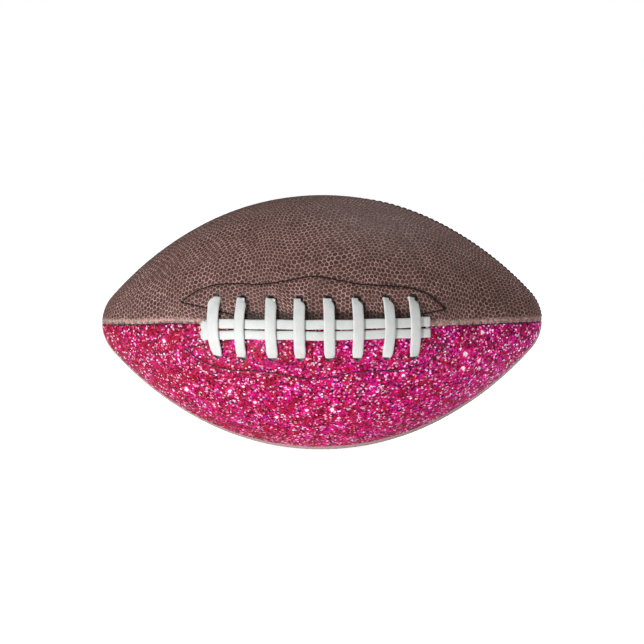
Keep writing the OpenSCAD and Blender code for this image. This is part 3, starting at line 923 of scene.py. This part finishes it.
def palette(tree, value, stops):
    """Steps of plain colour, each from its own position up to the next one's."""
    node = add(tree, "ValToRGB", {"Fac": value})
    node.color_ramp.interpolation = "CONSTANT"
    points = node.color_ramp.elements
    for k, (position, colour) in enumerate(stops):
        point = points[k] if k < 2 else points.new(position)
        point.position, point.color = position, (*colour, 1)
    return node.outputs["Color"]


def glitter_print():
    """Glitter print in red, pinks and purple, with a bare rim at the bottom seam."""
    material, tree, shader, place = new_material("glitter_print_leather", **{"Specular IOR Level": 0.1})
    grain, rim = value_of(tree, "grain"), value_of(tree, "rim")
    split = add(tree, "SeparateXYZ", {0: place})
    drift = math_node(tree, "MULTIPLY", split.outputs["X"], 2.4)
    drift = math_node(tree, "ADD", drift, ramp(tree, noise(tree, place, 130.0, 2.0), 0.3, 0.7, -0.3, 0.3))
    _, pick, shade, hue = flakes(tree, place, 1150.0)
    red_side = palette(tree, pick, [(0, (0.09, 0.002, 0.02)), (0.10, (0.30, 0.003, 0.025)),
                                    (0.24, (0.48, 0.008, 0.024)), (0.44, (0.60, 0.014, 0.05)),
                                    (0.62, (0.50, 0.007, 0.11)), (0.77, (0.76, 0.045, 0.21)),
                                    (0.88, (0.92, 0.26, 0.46)), (0.945, (1.0, 0.76, 0.90))])
    pink_side = palette(tree, pick, [(0, (0.06, 0.002, 0.05)), (0.10, (0.28, 0.002, 0.07)),
                                     (0.24, (0.74, 0.004, 0.08)), (0.38, (0.88, 0.006, 0.21)),
                                     (0.54, (0.74, 0.006, 0.42)), (0.70, (1.0, 0.024, 0.42)),
                                     (0.86, (1.0, 0.28, 0.70)), (0.93, (1.0, 0.80, 0.97))])
    pinkness = ramp(tree, math_node(tree, "ADD", drift, ramp(tree, hue, 0, 1, -0.2, 0.2)), -0.22, 0.36)
    colour = mix(tree, pinkness, red_side, pink_side)
    colour = mix(tree, ramp(tree, shade, 0.0, 0.9, 0.55, 0.0), colour, (0.35, 0.15, 0.3, 1), "MULTIPLY")
    cluster = noise(tree, place, 170.0, 2.0)
    gloom = ramp(tree, noise(tree, place, 330.0, 3.0), 0.40, 0.66, 0.0, 0.8)
    colour = mix(tree, gloom, colour, (0.50, 0.36, 0.46, 1), "MULTIPLY")
    warp = add(tree, "VectorMath", {0: place, 1: (0.72, 1.0, 1.15)}, operation="MULTIPLY")
    distance, chance, _, _ = flakes(tree, warp.outputs[0], 560.0)
    star = ramp(tree, math_node(tree, "ADD", distance, ramp(tree, pick, 0, 1, -0.12, 0.16)), 0.34, 0.12)
    rare = math_node(tree, "ADD", chance, ramp(tree, cluster, 0.35, 0.65, -0.12, 0.12))
    star = math_node(tree, "MULTIPLY", star, math_node(tree, "GREATER_THAN", rare, 0.83))
    colour = mix(tree, star, colour, (1.0, 0.84, 0.96, 1))
    glow = value_of(tree, "glint")
    colour = mix(tree, ramp(tree, glow, 0.001, 0.3, 0.0, 0.7), colour, (0.98, 0.03, 0.28, 1))
    ragged = math_node(tree, "ADD", glow, ramp(tree, pick, 0, 1, -0.2, 0.2))
    colour = mix(tree, ramp(tree, ragged, 0.45, 0.65), colour, (1.0, 0.96, 0.97, 1))
    bare = mix(tree, ramp(tree, grain, 0.1, 0.6), (0.70, 0.52, 0.48, 1), (0.40, 0.335, 0.31, 1))
    # painted shade on the bare rim's seam gathers and in the holes
    bare = mix(tree, ramp(tree, value_of(tree, "pull"), 0.15, 0.7), bare, (0.17, 0.15, 0.145, 1))
    wobble = ramp(tree, noise(tree, place, 240.0), 0.3, 0.7, -0.5 * MM, 0.5 * MM)
    colour = mix(tree, ramp(tree, math_node(tree, "ADD", rim, wobble), -0.15 * MM, 0.15 * MM), bare, colour)
    # painted shade: the print is darker in the valleys between the pebbles
    colour = mix(tree, ramp(tree, grain, 0.5, 0.0, 0.0, 0.25), colour, (0.18, 0.01, 0.05, 1))
    # painted glow: the brighter pink flakes emit a little light of their own, though they are no lamp
    tree.links.new(colour, shader.inputs["Emission Color"])
    sparkle = math_node(tree, "MULTIPLY", ramp(tree, pick, 0.5, 0.95, 0.0, 0.26), pinkness)
    sparkle = math_node(tree, "MULTIPLY", sparkle, ramp(tree, split.outputs["X"], 0.04, 0.10, 1.0, 2.2))
    sparkle = math_node(tree, "MULTIPLY", sparkle, ramp(tree, rim, 0.0, 1.0 * MM))
    tree.links.new(sparkle, shader.inputs["Emission Strength"])
    rough = ramp(tree, shade, 0.0, 1.0, 0.3, 0.6)
    dress(tree, shader, colour, rough, noise(tree, place, 1200.0), 0.04 * MM, 0.5)
    return material


def lace_vinyl():
    """Soft white strip with faint lengthwise streaks, painted greyer as shade where it dives into a hole."""
    soft = {"Subsurface Weight": 0.15, "Subsurface Scale": 0.6 * MM}
    material, tree, shader, place = new_material("white_lace", **soft)
    tuck = value_of(tree, "tuck")
    cloud = noise(tree, place, 220.0, 4.0)
    colour = mix(tree, ramp(tree, cloud, 0.3, 0.7), (0.63, 0.65, 0.635, 1), (0.69, 0.71, 0.695, 1))
    # painted shade: greyer where the lace goes down into its hole
    colour = mix(tree, ramp(tree, tuck, 0.0, 1.0, 0.0, 0.75), colour, (0.38, 0.39, 0.37, 1))
    rough = ramp(tree, cloud, 0.2, 0.8, 0.42, 0.62)
    dress(tree, shader, colour, rough, noise(tree, place, 1500.0, 3.0), 0.03 * MM, 0.5)
    return material


def thread(name, dark, light):
    """Waxed sewing thread."""
    material, tree, shader, place = new_material(name, **{"Specular IOR Level": 0.2})
    colour = mix(tree, noise(tree, place, 1800.0), dark, light)
    rough = ramp(tree, value_of(tree, "tuck"), 0, 1, 0.5, 0.8)
    dress(tree, shader, colour, rough, noise(tree, place, 5200.0), 0.05 * MM, 0.8)
    return material


def woven(name, dark, light, pitch):
    """Plain weave for the canvas backing."""
    material, tree, shader, place = new_material(name)
    waves = []
    for direction in ("X", "Z"):
        wave = add(tree, "TexWave", {"Vector": place, "Scale": 1 / pitch, "Distortion": 0.6},
                   wave_type="BANDS", bands_direction=direction)
        waves.append(wave.outputs["Fac"])
    weave = math_node(tree, "MULTIPLY", waves[0], waves[1])
    colour = mix(tree, weave, dark, light)
    colour = mix(tree, ramp(tree, noise(tree, place, 40.0), 0.3, 0.7, 0.0, 0.3), colour, dark)
    dress(tree, shader, colour, ramp(tree, weave, 0, 1, 0.95, 0.75), weave, 0.1 * MM)
    return material


def moulded(name, dark, light, rough_low, rough_high, scale):
    """Rubber, vinyl or felt: cloudy colour with a fine surface."""
    material, tree, shader, place = new_material(name)
    cloud, fine = noise(tree, place, scale, 5.0), noise(tree, place, scale * 9, 3.0)
    rough = ramp(tree, fine, 0.25, 0.75, rough_low, rough_high)
    dress(tree, shader, mix(tree, cloud, dark, light), rough, fine, 0.05 * MM, 0.7)
    return material


def finish_nodes():
    """Gives the CAD nodes that stay their own materials."""
    canvas = woven("backing_canvas", (0.42, 0.36, 0.26, 1), (0.74, 0.68, 0.55, 1), 0.9 * MM)
    vinyl = moulded("facing_vinyl", (0.02, 0.012, 0.011, 1), (0.06, 0.04, 0.035, 1), 0.5, 0.75, 120.0)
    felt = moulded("tongue_felt", (0.05, 0.035, 0.028, 1), (0.10, 0.075, 0.06, 1), 0.85, 0.98, 300.0)
    bladder = moulded("bladder_rubber", (0.010, 0.010, 0.011, 1), (0.025, 0.025, 0.027, 1), 0.4, 0.65, 90.0)
    valve = moulded("valve_rubber", (0.02, 0.02, 0.022, 1), (0.045, 0.045, 0.05, 1), 0.45, 0.7, 400.0)
    chosen = {"lining": canvas, "valve_patch": canvas, "facing": vinyl, "lace_tongue": felt,
              "bladder": bladder, "valve": valve}
    for name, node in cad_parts.items():
        for start, material in chosen.items():
            if name.startswith(start):
                node.data.materials.clear()
                node.data.materials.append(material)
                break


# ---------------------------------------------------------------------- the pieces
def make_ball():
    brown, glitter = brown_leather(), glitter_print()
    lace = lace_vinyl()
    black = thread("black_thread", (0.003, 0.002, 0.003, 1), (0.010, 0.008, 0.009, 1))
    printed = thread("printed_thread", (0.02, 0.010, 0.018, 1), (0.15, 0.055, 0.09, 1))
    dark = thread("brown_thread", (0.018, 0.011, 0.011, 1), (0.05, 0.034, 0.032, 1))
    panels = [
        ("cover_front_upper", "panel_front_upper", FRONT_UPPER, -1, 1.0, brown, "brown_leather", 11),
        ("cover_front_lower", "panel_front_lower", FRONT_LOWER, 1, 0.8, glitter, "glitter_leather", 12),
        ("cover_back_upper", "panel_back_upper", BACK_UPPER, 0, 1.0, brown, "brown_leather", 13),
        ("cover_back_lower", "panel_back_lower", BACK_LOWER, 0, 1.0, brown, "brown_leather", 14),
    ]
    for name, node, middle, front_side, relief, material, slot, seed in panels:
        panel = Panel(name, middle, front_side, np.random.default_rng(seed), relief)
        if middle == BACK_UPPER:
            panel.holes.append((0.0, 0.0, VALVE_R))
        install(panel.build(material), slot, node)
    install(crossing_laces(lace), "white_lace", "cross_lace")
    install(long_lace(lace), "white_lace", "long_lace")
    install(facing_stitches("facing_stitches_upper", 1, black), "black_thread", "facing_thread_upper")
    install(facing_stitches("facing_stitches_lower", -1, printed), "black_thread", "facing_thread_lower")
    whole = HALF_OUTLINE - 2 * MM
    opening = float(u_at_x(OPENING_HALF + 4 * MM))
    seams = [("top", QUARTER, -whole, whole, TOP_THREAD_RISE), ("bottom", -QUARTER, -whole, whole, 0),
             ("back", math.pi, -whole, whole, 0), ("front_left", 0, -whole, -opening, 0),
             ("front_right", 0, opening, whole, 0)]
    for name, turn, start, end, rise in seams:
        stitches = seam_stitches(f"seam_stitches_{name}", turn, start, end, rise, dark)
        install(stitches, "brown_thread", f"seam_thread_{name}")
    finish_nodes()


# ---------------------------------------------------------------------- floor, light and camera
def make_floor():
    """Pale floor below the ball. It glows white to the camera, and it casts no shadow, so that the key
    light, which stands lower than the floor, still reaches the ball."""
    size = 14.0
    points = [(-size, -size, 0), (size, -size, 0), (size, size, 0), (-size, size, 0)]
    points = np.array(points) + [0, 0, cad_low.z - 0.2 * MM]
    material, tree, shader, place = new_material("pale_floor", Roughness=0.8)
    colour = mix(tree, noise(tree, place, 3.0), (0.90, 0.90, 0.90, 1), (0.93, 0.93, 0.93, 1))
    tree.links.new(colour, shader.inputs["Base Color"])
    tree.links.new(colour, shader.inputs["Emission Color"])
    seen = add(tree, "LightPath").outputs["Is Camera Ray"]
    tree.links.new(ramp(tree, seen, 0.0, 1.0, 0.35, 1.0), shader.inputs["Emission Strength"])
    floor = make_mesh("floor", points, np.array([(0, 1, 2), (0, 2, 3)]), None, material)
    floor.visible_shadow = False


def make_light(name, position, size, power, colour=(1, 1, 1)):
    data = bpy.data.lights.new(name, "AREA")
    data.shape, data.size, data.energy, data.color = "DISK", size, power, colour
    light = bpy.data.objects.new(name, data)
    light.location = position
    light.rotation_mode = "QUATERNION"
    light.rotation_quaternion = light.location.to_track_quat("Z", "Y")
    bpy.context.collection.objects.link(light)


def make_lights():
    """White backdrop, a weaker light from all round, a key light low on the left and a rim light above."""
    world = bpy.data.worlds.new("studio")
    world.use_nodes = True
    tree = world.node_tree
    seen = add(tree, "LightPath").outputs["Is Camera Ray"]
    strength = ramp(tree, seen, 0.0, 1.0, 0.242, 1.0)
    tree.links.new(strength, tree.nodes["Background"].inputs["Strength"])
    tree.nodes["Background"].inputs["Color"].default_value = (1, 1, 1, 1)
    bpy.context.scene.world = world
    make_light("key", (-1.12, -1.45, -0.42), 0.2, 27)
    make_light("rim", (0.4, 0.4, 1.6), 0.8, 10)


def make_camera():
    azimuth, elevation, roll = math.radians(3.2), math.radians(2.8), math.radians(-0.53)
    distance, picture_width = 1.55, 0.3442
    data = bpy.data.cameras.new("camera")
    data.sensor_width = 36
    data.lens = 36 * distance / picture_width
    data.clip_start, data.clip_end = 0.05, 60
    camera = bpy.data.objects.new("camera", data)
    bpy.context.collection.objects.link(camera)
    back = Vector((math.sin(azimuth) * math.cos(elevation), -math.cos(azimuth) * math.cos(elevation),
                   math.sin(elevation)))
    camera.location = distance * back + Vector((0.4 * MM, 0, 0))
    camera.rotation_mode = "QUATERNION"
    camera.rotation_quaternion = (-back).to_track_quat("-Z", "Y") @ Quaternion((0, 0, 1), roll)
    bpy.context.scene.camera = camera


make_camera()
make_ball()
make_floor()
make_lights()
bpy.context.scene.view_settings.view_transform = "Standard"
